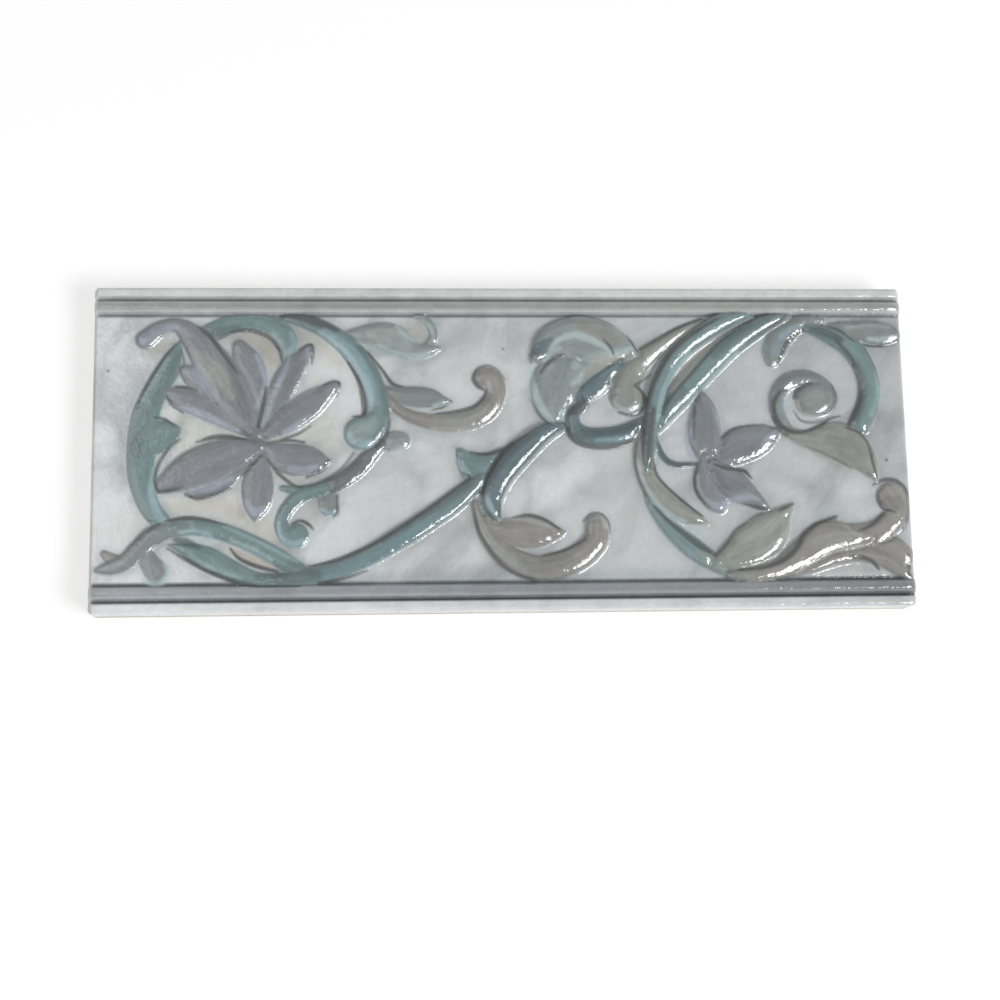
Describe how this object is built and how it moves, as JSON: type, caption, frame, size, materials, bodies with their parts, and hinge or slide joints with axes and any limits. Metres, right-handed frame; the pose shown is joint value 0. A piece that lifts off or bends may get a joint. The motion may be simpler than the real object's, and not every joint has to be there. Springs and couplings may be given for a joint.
{
  "type": "border tile",
  "caption": "Long narrow glazed ceramic border tile with beaded long edges and a scrolling stem, leaf and flower relief, set in a wall as a decorative course.",
  "frame": {"origin": "centre of the back, on the plane of the lands between the keying grooves", "axes": "+X along the tile's length to the viewer's right, +Y across its width to the upper edge, +Z out of the decorated face"},
  "size_m": [0.2, 0.08, 0.0106],
  "materials": {
    "glazed_ceramic": "pale grey ground with hand-painted grey, blue-green and lilac-grey relief under a clear gloss glaze, bare clay on the back"
  },
  "bodies": {
    "root": {"border_tile": "glazed_ceramic"}
  },
  "joints": []
}
